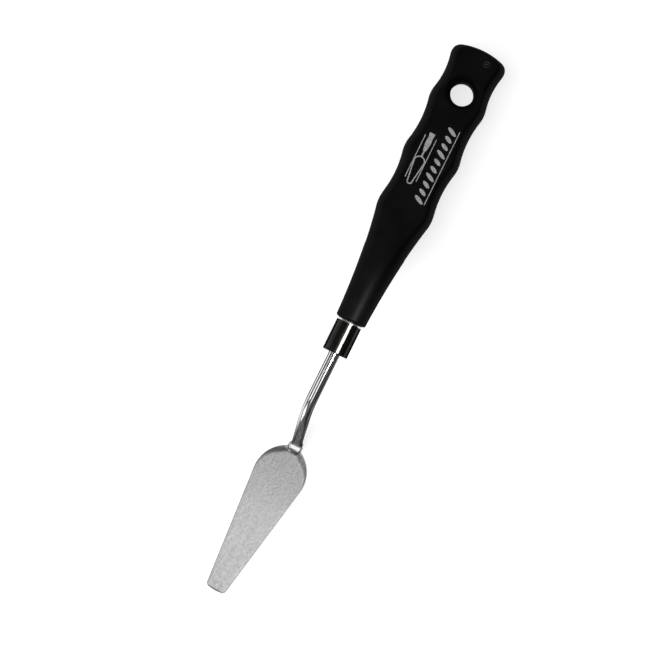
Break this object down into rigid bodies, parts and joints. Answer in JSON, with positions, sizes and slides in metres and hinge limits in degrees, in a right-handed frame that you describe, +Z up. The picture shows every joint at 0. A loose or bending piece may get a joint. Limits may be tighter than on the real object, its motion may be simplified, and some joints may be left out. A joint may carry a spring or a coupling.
{
  "type": "palette knife",
  "caption": "Small cranked painting knife: grooved black grip with a hanging hole, plated ferrule, bent steel shank and a blunt trowel-shaped blade.",
  "frame": {"origin": "middle of the footprint, on the table that the knife lies on", "axes": "+X from the butt to the blade's tip, +Z up out of the table on the printed side of the grip, +Y to the left of someone looking along +X"},
  "size_m": [0.2136, 0.0214, 0.016],
  "materials": {
    "grip_plastic": "fine satin moulded plastic, black",
    "ferrule_plating": "bright nickel plating with fine drawing marks along it",
    "shank_steel": "polished along its length",
    "blade_steel": "satin ground lengthways, slightly mottled",
    "weld_steel": "dull grey weld, dressed smooth",
    "bond_resin": "cured dark amber resin",
    "grip_print": "thin pale grey pad-printed ink"
  },
  "bodies": {
    "root": {"grip": "grip_plastic", "ferrule": "ferrule_plating", "shank": "shank_steel", "blade": "blade_steel", "neck_weld": "weld_steel", "tang_bond": "bond_resin"}
  },
  "joints": []
}
